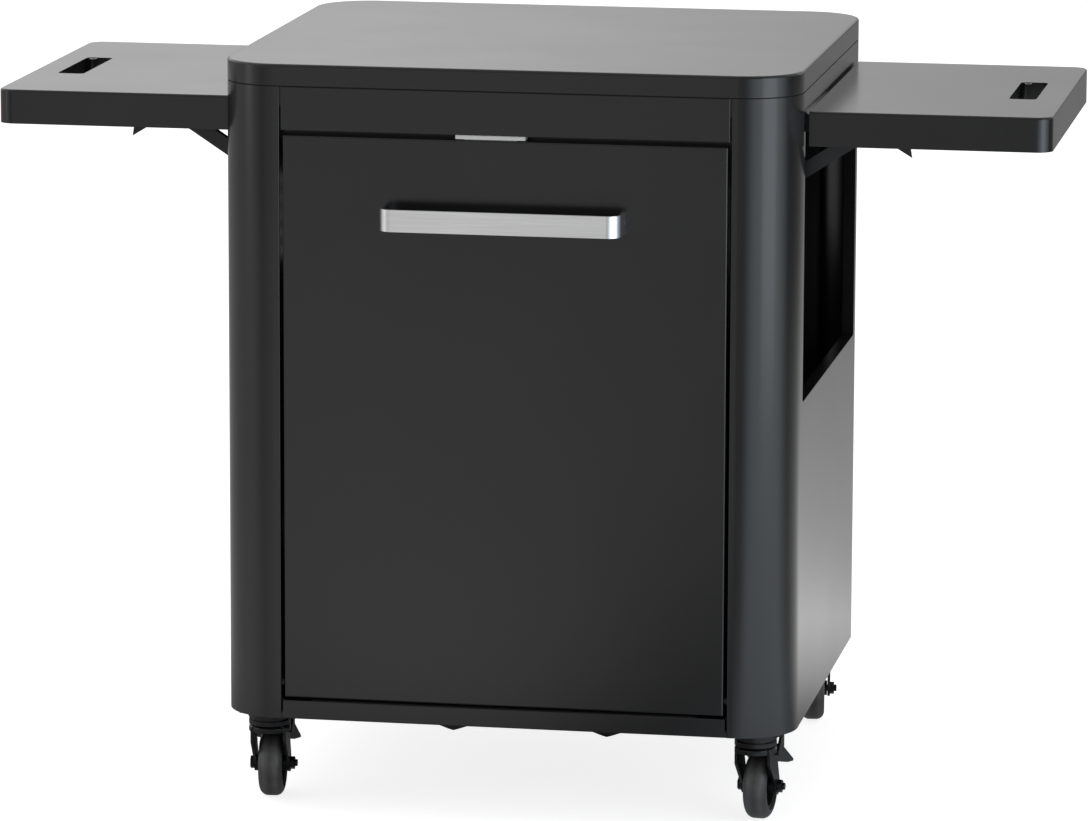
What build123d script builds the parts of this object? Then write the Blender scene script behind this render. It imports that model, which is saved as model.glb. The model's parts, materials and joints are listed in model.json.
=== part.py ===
from build123d import *
import math
import os

os.makedirs("parts", exist_ok=True)

# Cabinet: X to the right, front towards -Y, Z up from the ground, in millimetres
body_width = 653
body_depth = 600
corner_radius = 65
sheet = 1.5
worktop_z = 857
skirt_drop = 24
seam_gap = 1.2
jamb_width = 71.5
return_depth = 22
edge_soft = 1.0
worktop_edge = 3.0

# Collar, fascia, rail and floor
collar_height = 45
collar_relief = 1.5
fascia_height = 48.8
fascia_flange = 22.5
stop_lip = 12
end_gap = 2
end_gap_depth = 8
rail_height = 21.2
floor_rise = 6
rail_flange_gap = 10
floor_flange_inset = 7
floor_flange = 18

# Side cut-out that takes the folded shelf
cut_corner_gap = 11
cut_height = 322
cut_cover = 6
cut_radius = 5
cut_flange = 12

# Back panel
vent_length = 90
vent_width = 8
vent_pitch = 22
vent_rows = 5
vent_x = 120
vent_drop = 240
hose_hole_r = 22
hose_rise = 90
screw_edge = 18.5
screw_margin = 50
screw_rows = 4
screw_r = 2.5
screw_length = 9
screw_head_r = 5
screw_head = 1.5
screw_round = 1

# Bottle well in the floor
well_half = 140
well_setback = 174
well_length = 300
well_depth = 38.5
well_lip = 12
well_corner = 14
bead_x = 90
bead_half = 22
bead_depth = 7

# Door
door_side_gap = 4
door_low_gap = 3.5
door_high_gap = 5.5
door_thickness = 20
door_edge = 2.0
pivot_back = 8
pivot_rise = 16
pivot_r = 4
pivot_length = 13
pivot_flange_r = 5.2
pivot_flange = 2.5
running = 0.05
bush_r = 6
bush_length = 10
bead_margin = 45
door_bead = 6
door_bead_r = 20
door_bead_rise = 3
pivot_room = 0.2

# Handle
handle_length = 272
handle_height = 25
handle_reach = 36
handle_strap = 3
handle_bend = 15
handle_drop = 87.5
handle_soft = 0.4
stud_r = 2.5
stud_length = 8
stud_nut_r = 5
stud_nut = 4

# Catch over the door and its keeper
catch_width = 79
catch_x = -15.7
catch_depth = 18
catch_height = 4.5
catch_setback = 1.5
keeper_width = 60
keeper_depth = 12
keeper_setback = 4
keeper_thick = 0.7

# Uprights and bracket wall plates
upright_inset = 67
upright_wide = 22
upright_gap = 1
upright_deep = 25
bracket_inset = 20
plate_thick = 2
plate_inner = 10.5
plate_low = 13
hinge_in = 16
hinge_lobe = 8.5
hinge_pin_r = 3

# Shelf
shelf_drop = 48
shelf_gap = 3.5
shelf_span = 273.5
shelf_side_gap = 4
shelf_skirt = 39
shelf_corner = 18
shelf_edge = 2.5
slot_wide = 31
slot_long = 144
slot_rim = 14
slot_inset = 48
slot_corner = 6

# Arms, struts and release levers
arm_half = 9
arm_wall = 2
arm_length = 211
arm_step = 3
arm_nose = 8
arm_slant = 5
seat_r = 4.5
seat_depth = 15
strut_drop = 60.8
strut_run = 93.2
strut_depth = 16
strut_half = 5.5
strut_wall = 1.5
strut_solid = 13
roller_r = 4
roller_half = 6.5
lever_run = 91
lever_fall = 3
lever_thick = 2
lever_play = 0.2
lever_boss = 6
lever_width = 4
lever_root = 4.5
lever_nose = 7
lever_pin_r = 2.5
lever_head = 4
lever_cap = 1
lever_reach = 44
lever_drop = 29.5
lever_hook = 3.5

# Casters
caster_inset_x = 46
caster_inset_y = 55
caster_plate_x = 70
caster_plate_y = 56
caster_plate = 3
caster_corner = 12
race_r = 24
race_lip = 5
race_waist_r = 21
race_waist = 8
race_top_r = 24.5
race_depth = 21.8
race_gap = 1.2
crown_r = 24
crown_depth = 7
crown_round = 3
wheel_headroom = 7
king_r = 6
king_play = 0.5
king_cap = 2
king_cap_r = 9
king_cap_gap = 0.8
trail = 25.5
wheel_r = 38
wheel_width = 27.5
tyre_round = 9.5
rim_r = 28
hub_width = 22
dish_r = 23
dish_depth = 7
hub_boss_r = 9
hub_play = 0.5
leg_gap = 17.5
leg_thick = 3
leg_half = 17
leg_bend = 5
leg_waist = 2
leg_heel = 12
axle_boss = 10
axle_r = 4
axle_head_r = 7.5
axle_head = 5
axle_tail = 3
pedal_pin_y = 14
pedal_pin_drop = 3.5
pedal_pin_r = 2
pedal_ear = 3
pedal_cheek = 3
pedal_cheek_gap = 0.5
pedal_root_y = 27
ear_end_y = 40
ear_low = 8.5
ear_rise = 8
pedal_end_y = 84
pedal_root_rise = 4
pedal_slope = 30
pedal_half_end = 26.5
pedal_corner = 8
pedal_thick = 2.5
rib_count = 5
rib_first = 6
rib_pitch = 5
rib_width = 2
rib_height = 1
rib_margin = 10
bolt_dx = 28
bolt_dy = 20
bolt_r = 3
bolt_head_r = 5
bolt_head = 4
bolt_nut = 5
bolt_tail = 2
bolt_clear = 0.2
front_left_turn = 5.5
front_right_turn = -5
rear_left_turn = 4
rear_right_turn = 8

# Levels and faces that follow from the sizes above
half_w = body_width / 2
half_d = body_depth / 2
front = -half_d
inner_w = body_width - 2 * sheet
inner_d = body_depth - 2 * sheet
crown_foot = 2 * wheel_r + wheel_headroom
crown_top = crown_foot + crown_depth
race_foot = crown_top + race_gap
plate_foot = race_foot + race_depth
floor_z = plate_foot + caster_plate
floor_top = floor_z + sheet
skirt_z = worktop_z - skirt_drop
under_top = worktop_z - sheet
panel_top = skirt_z - seam_gap
collar_z = under_top - collar_height
opening_half = half_w - jamb_width
fascia_z = panel_top - fascia_height
rail_z = floor_z - floor_rise
rail_top = rail_z + rail_height
lip_back = front + fascia_flange
door_half = opening_half - door_side_gap
door_low = rail_top + door_low_gap
door_high = fascia_z - door_high_gap
door_back = front + door_thickness
pivot_y = front + pivot_back
pivot_z = door_low + pivot_rise
handle_z = door_high - handle_drop
leg_x = (handle_length - handle_strap) / 2
shelf_top = worktop_z - shelf_drop
shelf_foot = shelf_top - shelf_skirt
shelf_in = half_w + shelf_gap
shelf_out = half_w + shelf_span
shelf_long = shelf_out - shelf_in
cut_half = half_d - corner_radius - cut_corner_gap
cut_high = shelf_top - cut_cover
cut_low = cut_high - cut_height
shelf_half = cut_half - shelf_side_gap
bracket_y = shelf_half - bracket_inset
hinge_x = half_w - hinge_in
hinge_z = shelf_top - hinge_in
strut_z = hinge_z - strut_drop
strut_length = math.hypot(strut_run, strut_drop)
upright_x = half_w - upright_inset
upright_face = upright_x + upright_wide
upright_y = cut_half + upright_gap
arm_in = shelf_in + arm_step
arm_out = hinge_x + arm_length
arm_roof = shelf_top - sheet
arm_foot = hinge_z - hinge_lobe
lever_x = hinge_x + lever_run
lever_z = hinge_z - lever_fall
caster_x = half_w - caster_inset_x
caster_y = half_d - caster_inset_y
rail_foot_half = caster_x - caster_plate_x / 2 - rail_flange_gap
floor_flange_half = half_d - corner_radius - floor_flange_inset
king_foot = crown_foot - king_cap_gap - king_cap
pedal_pin_z = crown_foot - pedal_pin_drop
pedal_root_z = crown_foot + pedal_root_rise
well_front = front + well_setback
well_mid = well_front + well_length / 2
well_foot = floor_top - well_depth
screw_x = opening_half - screw_edge
screw_low = floor_top + screw_margin
screw_step = (panel_top - floor_top - 2 * screw_margin) / (screw_rows - 1)
screw_spots = [(x, screw_low + i * screw_step) for x in (-screw_x, screw_x) for i in range(screw_rows)]


def save(part, name):
    part.label = name
    export_step(part, "parts/" + name + ".step")


def box_at(x0, x1, y0, y1, z0, z1, mode=Mode.ADD):
    with Locations(((x0 + x1) / 2, (y0 + y1) / 2, (z0 + z1) / 2)):
        Box(x1 - x0, y1 - y0, z1 - z0, mode=mode)


def rod_y(x, y, z, radius, length, mode=Mode.ADD):
    with Locations((x, y, z)):
        Cylinder(radius, length, rotation=(90, 0, 0), mode=mode)


def rod_x(x, y, z, radius, length, mode=Mode.ADD):
    with Locations((x, y, z)):
        Cylinder(radius, length, rotation=(0, 90, 0), mode=mode)


# Worktop: a pan turned upside down
with BuildPart() as worktop:
    with BuildSketch(Plane.XY.offset(skirt_z)):
        RectangleRounded(body_width, body_depth, corner_radius)
    extrude(amount=skirt_drop)
    fillet(worktop.faces().sort_by(Axis.Z)[-1].edges(), radius=worktop_edge)
    with BuildSketch(Plane.XY.offset(skirt_z)):
        RectangleRounded(inner_w, inner_d, corner_radius - sheet)
    extrude(amount=skirt_drop - sheet, mode=Mode.SUBTRACT)
save(worktop.part, "worktop")

# Collar inside the skirt and the panel tops, notched over the returns of the panels
with BuildPart() as top_collar:
    with BuildSketch(Plane.XY.offset(under_top - collar_height)):
        RectangleRounded(inner_w, inner_d, corner_radius - sheet + collar_relief)
        RectangleRounded(inner_w - 2 * sheet, inner_d - 2 * sheet,
                         corner_radius - 2 * sheet + collar_relief, mode=Mode.SUBTRACT)
    extrude(amount=collar_height)
    for sx in (-1, 1):
        notch = sx * (opening_half + sheet / 2)
        box_at(notch - sheet, notch + sheet, -half_d, half_d, 0, panel_top + sheet,
               mode=Mode.SUBTRACT)
save(top_collar.part, "top_collar")

# Side panel: one sheet round both corners, with returns and a flanged cut-out
with BuildPart() as right_side_panel:
    with BuildSketch(Plane.XY.offset(rail_z)):
        RectangleRounded(body_width, body_depth, corner_radius)
        RectangleRounded(inner_w, inner_d, corner_radius - sheet, mode=Mode.SUBTRACT)
        with Locations((opening_half + half_w / 2, 0)):
            Rectangle(half_w, body_depth, mode=Mode.INTERSECT)
    extrude(amount=panel_top - rail_z)
    with BuildSketch(Plane.XY.offset(floor_top)):
        for end in (-1, 1):
            with Locations((opening_half + sheet / 2, end * (half_d - return_depth / 2))):
                Rectangle(sheet, return_depth)
    extrude(amount=panel_top - floor_top)
    jambs = right_side_panel.edges().filter_by(Axis.Z).group_by(Axis.X)[0]
    fillet(jambs.sort_by(Axis.Y)[0], radius=edge_soft)
    cut_mid = (cut_low + cut_high) / 2
    with BuildSketch(Plane.YZ.offset(half_w)):
        with Locations((0, cut_mid)):
            RectangleRounded(2 * cut_half, cut_height, cut_radius)
    extrude(amount=-2 * sheet, mode=Mode.SUBTRACT)
    with BuildSketch(Plane.YZ.offset(half_w - sheet)):
        with Locations((0, cut_mid)):
            RectangleRounded(2 * (cut_half + sheet), cut_height + 2 * sheet, cut_radius + sheet)
            RectangleRounded(2 * cut_half, cut_height, cut_radius, mode=Mode.SUBTRACT)
    extrude(amount=-cut_flange)
save(right_side_panel.part, "right_side_panel")

with BuildPart() as left_side_panel:
    mirror(right_side_panel.part, about=Plane.YZ)
save(left_side_panel.part, "left_side_panel")

# Back panel with vents, a hose hole and screw holes
with BuildPart() as back_panel:
    with BuildSketch(Plane.XZ.offset(-half_d)):
        with Locations((0, (rail_z + panel_top) / 2)):
            Rectangle(2 * opening_half, panel_top - rail_z)
        with Locations((0, panel_top - vent_drop)):
            with GridLocations(2 * vent_x, vent_pitch, 2, vent_rows):
                SlotOverall(vent_length, vent_width, mode=Mode.SUBTRACT)
        with Locations((0, floor_top + hose_rise)):
            Circle(hose_hole_r, mode=Mode.SUBTRACT)
        with Locations(*screw_spots):
            Circle(screw_r + bolt_clear, mode=Mode.SUBTRACT)
    extrude(amount=sheet)
save(back_panel.part, "back_panel")

# Floor with side flanges and the opening of the well
with BuildPart() as floor_pan:
    with BuildSketch(Plane.XY.offset(floor_z)):
        RectangleRounded(inner_w, inner_d, corner_radius - sheet + collar_relief)
        with Locations((0, well_mid)):
            RectangleRounded(2 * well_half, well_length, well_corner, mode=Mode.SUBTRACT)
        for sx in (-1, 1):
            for sy in (-1, 1):
                with Locations((sx * caster_x, sy * caster_y)):
                    with GridLocations(2 * bolt_dx, 2 * bolt_dy, 2, 2):
                        Circle(bolt_r + bolt_clear, mode=Mode.SUBTRACT)
    extrude(amount=sheet)
    with BuildSketch(Plane.XY.offset(floor_top)):
        for sx in (-1, 1):
            with Locations((sx * (half_w - 1.5 * sheet), 0)):
                Rectangle(sheet, 2 * floor_flange_half)
    extrude(amount=floor_flange)
save(floor_pan.part, "floor_pan")

# Lowered well for the gas bottle: a lipped pan with two pressed V beads under it
with BuildPart() as bottle_well:
    with BuildSketch(Plane.XY.offset(floor_top)):
        with Locations((0, well_mid)):
            RectangleRounded(2 * (well_half + well_lip), well_length + 2 * well_lip,
                             well_corner + well_lip)
    extrude(amount=sheet)
    with BuildSketch(Plane.XY.offset(well_foot)):
        with Locations((0, well_mid)):
            RectangleRounded(2 * well_half, well_length, well_corner)
    extrude(amount=well_depth)
    with BuildSketch(Plane.XY.offset(well_foot + sheet)):
        with Locations((0, well_mid)):
            RectangleRounded(2 * (well_half - sheet), well_length - 2 * sheet, well_corner - sheet)
    extrude(amount=well_depth, mode=Mode.SUBTRACT)
    for sx in (-1, 1):
        x = sx * bead_x
        with BuildSketch(Plane.XZ.offset(-well_front)):
            with BuildLine():
                Polyline((x - bead_half, well_foot), (x + bead_half, well_foot),
                         (x, well_foot - bead_depth), close=True)
            make_face()
        extrude(amount=-well_length)
        with BuildSketch(Plane.XZ.offset(-well_front - sheet)):
            with BuildLine():
                Polyline((x - bead_half, well_foot + sheet), (x + bead_half, well_foot + sheet),
                         (x, well_foot + sheet - bead_depth), close=True)
            make_face()
        extrude(amount=2 * sheet - well_length, mode=Mode.SUBTRACT)
save(bottle_well.part, "bottle_well")

# Fixed strip over the door: folded with a stop lip behind the door, shadow gap at both ends
with BuildPart() as front_fascia:
    with BuildSketch(Plane.YZ):
        with BuildLine():
            Polyline((front, fascia_z), (lip_back - sheet, fascia_z), (lip_back - sheet, fascia_z - stop_lip),
                     (lip_back, fascia_z - stop_lip), (lip_back, fascia_z + sheet),
                     (front + sheet, fascia_z + sheet), (front + sheet, panel_top), (front, panel_top),
                     close=True)
        make_face()
    extrude(amount=opening_half, both=True)
    for sx in (-1, 1):
        with BuildSketch(Plane.YZ.offset(sx * opening_half)):
            with Locations((front + fascia_flange / 2, (fascia_z + collar_z) / 2)):
                Rectangle(fascia_flange, collar_z - fascia_z)
        extrude(amount=-sx * sheet)
        inner, outer = sorted((sx * (opening_half - end_gap), sx * opening_half))
        box_at(inner, outer, front, front + end_gap_depth, fascia_z, panel_top, mode=Mode.SUBTRACT)
    fillet(front_fascia.faces().sort_by(Axis.Y)[0].edges(), radius=edge_soft)
save(front_fascia.part, "front_fascia")

# Low rail under the door: a folded angle with a foot under the floor, shadow gap at both ends
with BuildPart() as bottom_rail:
    with BuildSketch(Plane.YZ):
        with BuildLine():
            Polyline((front, rail_z), (front + sheet, rail_z), (front + sheet, rail_top - sheet),
                     (front + return_depth, rail_top - sheet), (front + return_depth, rail_top),
                     (front, rail_top), close=True)
        make_face()
    extrude(amount=opening_half, both=True)
    with BuildSketch(Plane.XY.offset(floor_z)):
        with Locations((0, front + return_depth / 2)):
            Rectangle(2 * rail_foot_half, return_depth)
    extrude(amount=-sheet)
    for sx in (-1, 1):
        inner, outer = sorted((sx * (opening_half - end_gap), sx * opening_half))
        box_at(inner, outer, front, front + end_gap_depth, floor_z, rail_top, mode=Mode.SUBTRACT)
    rail_edges = bottom_rail.faces().sort_by(Axis.Y)[0].edges().filter_by(Axis.X)
    fillet(rail_edges.sort_by(SortBy.LENGTH)[-2:], radius=edge_soft)
save(bottom_rail.part, "bottom_rail")

# Square tube uprights beside the cut-out
with BuildPart() as right_uprights:
    with BuildSketch(Plane.XY.offset(floor_top)):
        for end in (-1, 1):
            with Locations((upright_x + upright_wide / 2, end * (upright_y + upright_deep / 2))):
                Rectangle(upright_wide, upright_deep)
                Rectangle(upright_wide - 2 * sheet, upright_deep - 2 * sheet, mode=Mode.SUBTRACT)
    extrude(amount=under_top - floor_top)
save(right_uprights.part, "right_uprights")

with BuildPart() as left_uprights:
    mirror(right_uprights.part, about=Plane.YZ)
save(left_uprights.part, "left_uprights")

# Bracket wall plates: base on the upright, two cheeks, hinge pin and strut pin
with BuildPart() as right_wall_plates:
    for end in (-1, 1):
        y = end * bracket_y
        outer_y = end * (upright_y + upright_deep)
        inner_y = end * (bracket_y - plate_inner - plate_thick)
        box_at(upright_face, upright_face + plate_thick, min(outer_y, inner_y),
               max(outer_y, inner_y), strut_z - plate_low, hinge_z + hinge_lobe)
        for cheek in (-1, 1):
            face = y + cheek * (plate_inner + plate_thick / 2)
            with BuildSketch(Plane.XZ.offset(-face)):
                with BuildLine():
                    Polyline((upright_face, strut_z - plate_low), (hinge_x, strut_z - hinge_lobe),
                             (hinge_x + hinge_lobe, strut_z), (hinge_x + hinge_lobe, hinge_z),
                             (hinge_x, hinge_z + hinge_lobe), (upright_face, hinge_z + hinge_lobe),
                             close=True)
                make_face()
                with Locations((hinge_x, hinge_z), (hinge_x, strut_z)):
                    Circle(hinge_lobe)
            extrude(amount=plate_thick / 2, both=True)
        for z in (hinge_z, strut_z):
            rod_y(hinge_x, y, z, hinge_pin_r, 2 * (plate_inner + plate_thick))
save(right_wall_plates.part, "right_wall_plates")

with BuildPart() as left_wall_plates:
    mirror(right_wall_plates.part, about=Plane.YZ)
save(left_wall_plates.part, "left_wall_plates")

# Catch under the fascia, seen in the gap over the door
with BuildPart() as magnet_catch:
    with BuildSketch(Plane.XY.offset(fascia_z)):
        with Locations((catch_x, front + catch_setback + catch_depth / 2)):
            RectangleRounded(catch_width, catch_depth, edge_soft)
    extrude(amount=-catch_height)
save(magnet_catch.part, "magnet_catch")

# Flanged pivot pins on the jambs
with BuildPart() as hinge_pins:
    for sx in (-1, 1):
        rod_x(sx * (opening_half - pivot_flange / 2), pivot_y, pivot_z, pivot_flange_r, pivot_flange)
        pin_mid = opening_half - pivot_flange - pivot_length / 2
        rod_x(sx * pin_mid, pivot_y, pivot_z, pivot_r, pivot_length)
save(hinge_pins.part, "hinge_pins")

# Screws of the back panel
with BuildPart() as back_screws:
    for x, z in screw_spots:
        rod_y(x, half_d + screw_head / 2, z, screw_head_r, screw_head)
        rod_y(x, half_d - screw_length / 2, z, screw_r, screw_length)
    fillet(back_screws.faces().group_by(Axis.Y)[-1].edges(), radius=screw_round)
save(back_screws.part, "back_screws")

# Door: folded front skin
with BuildPart() as door_skin:
    with BuildSketch(Plane.XZ.offset(-door_back)):
        with Locations((0, (door_low + door_high) / 2)):
            Rectangle(2 * door_half, door_high - door_low)
    extrude(amount=door_thickness)
    fillet(door_skin.faces().sort_by(Axis.Y)[0].edges(), radius=door_edge)
    offset(amount=-sheet, openings=door_skin.faces().sort_by(Axis.Y)[-1])
    rod_x(0, pivot_y, pivot_z, pivot_r + pivot_room, body_width, mode=Mode.SUBTRACT)
    for sx in (-1, 1):
        rod_y(sx * leg_x, front, handle_z, stud_r + running, 2 * door_edge, mode=Mode.SUBTRACT)
save(door_skin.part, "door_skin")

# Door inner sheet with a raised bead, set between the skin's returns
with BuildPart() as door_inner:
    with BuildSketch(Plane.XZ.offset(-door_back)):
        with Locations((0, (door_low + door_high) / 2)):
            Rectangle(2 * (door_half - sheet), door_high - door_low - 2 * sheet)
    extrude(amount=sheet)
    with BuildSketch(Plane.XZ.offset(sheet - door_back)):
        with Locations((0, (door_low + door_high) / 2)):
            RectangleRounded(2 * (door_half - bead_margin), door_high - door_low - 2 * bead_margin,
                             door_bead_r)
            RectangleRounded(2 * (door_half - bead_margin - door_bead),
                             door_high - door_low - 2 * (bead_margin + door_bead),
                             door_bead_r - door_bead, mode=Mode.SUBTRACT)
    extrude(amount=door_bead_rise)
save(door_inner.part, "door_inner")

# Bushes in the door's lower corners
with BuildPart() as door_bushes:
    bush_mid = door_half - sheet - bush_length / 2
    for sx in (-1, 1):
        rod_x(sx * bush_mid, pivot_y, pivot_z, bush_r, bush_length)
        rod_x(sx * bush_mid, pivot_y, pivot_z, pivot_r + running, bush_length, mode=Mode.SUBTRACT)
save(door_bushes.part, "door_bushes")

# Strap handle bent to a U
with BuildPart() as handle:
    with BuildSketch(Plane.XY.offset(handle_z - handle_height / 2)):
        with Locations((0, front)):
            RectangleRounded(handle_length, 2 * handle_reach, handle_bend)
            RectangleRounded(handle_length - 2 * handle_strap, 2 * (handle_reach - handle_strap),
                             handle_bend - handle_strap, mode=Mode.SUBTRACT)
        with Locations((0, front - handle_reach / 2)):
            Rectangle(handle_length, handle_reach, mode=Mode.INTERSECT)
    extrude(amount=handle_height)
    flats = [f for f in handle.faces() if abs(f.normal_at().Z) > 0.9]
    rims = [e for f in flats for e in f.edges() if e.center().Y < front - handle_soft]
    fillet(rims, radius=handle_soft)
save(handle.part, "handle")

# Studs and nuts that hold the handle from inside the door
with BuildPart() as handle_studs:
    for sx in (-1, 1):
        rod_y(sx * leg_x, front + stud_length / 2, handle_z, stud_r, stud_length)
        with BuildSketch(Plane.XZ.offset(-front - sheet)):
            with Locations((sx * leg_x, handle_z)):
                RegularPolygon(stud_nut_r, 6)
        extrude(amount=-stud_nut)
save(handle_studs.part, "handle_studs")

# Keeper plate on the door's top edge
with BuildPart() as keeper_plate:
    with BuildSketch(Plane.XY.offset(door_high)):
        with Locations((catch_x, front + keeper_setback + keeper_depth / 2)):
            Rectangle(keeper_width, keeper_depth)
    extrude(amount=keeper_thick)
save(keeper_plate.part, "keeper_plate")

# Folding shelf: a tray turned upside down, open towards the cabinet, with a rimmed hand slot
with BuildPart() as right_shelf:
    box_at(shelf_in, shelf_out, -shelf_half, shelf_half, shelf_foot, shelf_top)
    fillet(right_shelf.edges().filter_by(Axis.Z).group_by(Axis.X)[-1], radius=shelf_corner)
    rim = right_shelf.faces().sort_by(Axis.Z)[-1].edges()
    fillet([e for e in rim if e.center().X > shelf_in + sheet], radius=shelf_edge)
    with BuildSketch(Plane.XY.offset(shelf_foot)):
        with Locations((shelf_in - sheet, 0)):
            RectangleRounded(2 * shelf_long, 2 * (shelf_half - sheet), shelf_corner - sheet)
    extrude(amount=shelf_skirt - sheet, mode=Mode.SUBTRACT)
    with BuildSketch(Plane.XY.offset(shelf_top - sheet)):
        with Locations((shelf_out - slot_inset, 0)):
            RectangleRounded(slot_wide + 2 * sheet, slot_long + 2 * sheet, slot_corner + sheet)
    extrude(amount=sheet - slot_rim)
    with BuildSketch(Plane.XY.offset(shelf_top)):
        with Locations((shelf_out - slot_inset, 0)):
            RectangleRounded(slot_wide, slot_long, slot_corner)
    extrude(amount=-slot_rim, mode=Mode.SUBTRACT)
save(right_shelf.part, "right_shelf")

with BuildPart() as left_shelf:
    mirror(right_shelf.part, about=Plane.YZ)
save(left_shelf.part, "left_shelf")

# Channel arms under the shelf: hinge eye, seat for the strut pin, pins of the release levers
with BuildPart() as right_shelf_arms:
    for end in (-1, 1):
        y = end * bracket_y
        box_at(arm_in, arm_out, y - arm_half, y + arm_half, arm_roof - arm_wall, arm_roof)
        for cheek in (-1, 1):
            face = y + cheek * (arm_half - arm_wall / 2)
            with BuildSketch(Plane.XZ.offset(-face)):
                with BuildLine():
                    Polyline((hinge_x, arm_foot), (arm_out - arm_nose, arm_foot),
                             (arm_out, arm_foot + arm_nose), (arm_out, arm_roof), (arm_in, arm_roof),
                             (arm_in - arm_slant, hinge_z + hinge_lobe),
                             (hinge_x, hinge_z + hinge_lobe), close=True)
                make_face()
                with Locations((hinge_x, hinge_z)):
                    Circle(hinge_lobe)
                    Circle(hinge_pin_r + running, mode=Mode.SUBTRACT)
                with Locations((hinge_x + strut_drop, hinge_z - seat_depth / 2)):
                    SlotCenterToCenter(seat_depth, 2 * seat_r, rotation=90, mode=Mode.SUBTRACT)
            extrude(amount=arm_wall / 2, both=True)
        pin_in = y + end * arm_half
        rod_y(lever_x, pin_in + end * lever_thick / 2, lever_z, lever_pin_r, lever_thick)
        rod_y(lever_x, pin_in + end * (lever_thick + lever_cap / 2), lever_z, lever_head, lever_cap)
save(right_shelf_arms.part, "right_shelf_arms")

with BuildPart() as left_shelf_arms:
    mirror(right_shelf_arms.part, about=Plane.YZ)
save(left_shelf_arms.part, "left_shelf_arms")


# Diagonal strut: a channel with a pivot hole below and a cross pin in the arm
def strut(end):
    y = end * bracket_y
    tilt = Plane(origin=(hinge_x, y, strut_z), x_dir=(strut_run, 0, strut_drop), z_dir=(0, -1, 0))
    with BuildPart() as bar:
        with BuildSketch(tilt):
            with Locations((strut_length / 2, 0)):
                SlotCenterToCenter(strut_length, strut_depth)
            Circle(hinge_pin_r + running, mode=Mode.SUBTRACT)
        extrude(amount=strut_half, both=True)
        with BuildSketch(tilt):
            with Locations((strut_length / 2, strut_wall)):
                Rectangle(strut_length - 2 * strut_solid, strut_depth)
        extrude(amount=strut_half - strut_wall, both=True, mode=Mode.SUBTRACT)
        rod_y(hinge_x + strut_run, y, hinge_z, roller_r, 2 * roller_half)
    return bar.part


# Release lever: flat finger with a thumb end on the outer cheek of the arm, reaching below the skirt
def lever(end):
    mid_y = end * (bracket_y + arm_half + lever_thick / 2)
    long = math.hypot(lever_reach, lever_drop)
    slope = Plane(origin=(lever_x, mid_y, lever_z), x_dir=(lever_reach, 0, -lever_drop),
                  z_dir=(0, -1, 0))
    with BuildPart() as finger:
        with BuildSketch(slope):
            Circle(lever_boss)
            with BuildLine():
                Polyline((0, lever_root), (long - lever_nose, lever_width / 2 + lever_hook),
                         (long, -lever_width / 2), (0, -lever_root), close=True)
            make_face()
            Circle(lever_pin_r + running, mode=Mode.SUBTRACT)
        extrude(amount=lever_thick / 2 - lever_play, both=True)
    return finger.part


for end, place in ((-1, "front"), (1, "rear")):
    for maker, word in ((strut, "strut"), (lever, "lever")):
        piece = maker(end)
        with BuildPart() as turned:
            mirror(piece, about=Plane.YZ)
        save(piece, "right_" + place + "_" + word)
        save(turned.part, "left_" + place + "_" + word)

# Caster top plates with the fixed race and the kingpin
with BuildPart() as caster_plates:
    for sx in (-1, 1):
        for sy in (-1, 1):
            with BuildSketch(Plane.XY.offset(plate_foot)):
                with Locations((sx * caster_x, sy * caster_y)):
                    RectangleRounded(caster_plate_x, caster_plate_y, caster_corner)
                    with GridLocations(2 * bolt_dx, 2 * bolt_dy, 2, 2):
                        Circle(bolt_r + bolt_clear, mode=Mode.SUBTRACT)
            extrude(amount=caster_plate)
            head = Plane(origin=(sx * caster_x, sy * caster_y, race_foot), x_dir=(1, 0, 0), z_dir=(0, -1, 0))
            with BuildSketch(head):
                with BuildLine():
                    Polyline((0, 0), (race_r, 0), (race_r, race_lip), (race_waist_r, race_lip),
                             (race_waist_r, race_waist), (race_top_r, race_waist),
                             (race_top_r, race_depth), (0, race_depth), close=True)
                make_face()
            revolve(axis=Axis((sx * caster_x, sy * caster_y, 0), (0, 0, 1)))
            with Locations((sx * caster_x, sy * caster_y, (race_foot + king_foot) / 2)):
                Cylinder(king_r, race_foot - king_foot)
            with Locations((sx * caster_x, sy * caster_y, king_foot + king_cap / 2)):
                Cylinder(king_cap_r, king_cap)
save(caster_plates.part, "caster_plates")

# Bolts of the caster plates: heads inside, nuts and bolt ends below
with BuildPart() as caster_bolts:
    for sx in (-1, 1):
        for sy in (-1, 1):
            spots = [(sx * caster_x + i * bolt_dx, sy * caster_y + j * bolt_dy)
                     for i in (-1, 1) for j in (-1, 1)]
            with BuildSketch(Plane.XY.offset(plate_foot)):
                with Locations(*spots):
                    RegularPolygon(bolt_head_r, 6)
            extrude(amount=-bolt_nut)
            with BuildSketch(Plane.XY.offset(floor_top)):
                with Locations(*spots):
                    Circle(bolt_r)
            extrude(amount=plate_foot - bolt_nut - bolt_tail - floor_top)
            with BuildSketch(Plane.XY.offset(floor_top)):
                with Locations(*spots):
                    RegularPolygon(bolt_head_r, 6)
            extrude(amount=bolt_head)
save(caster_bolts.part, "caster_bolts")


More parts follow.
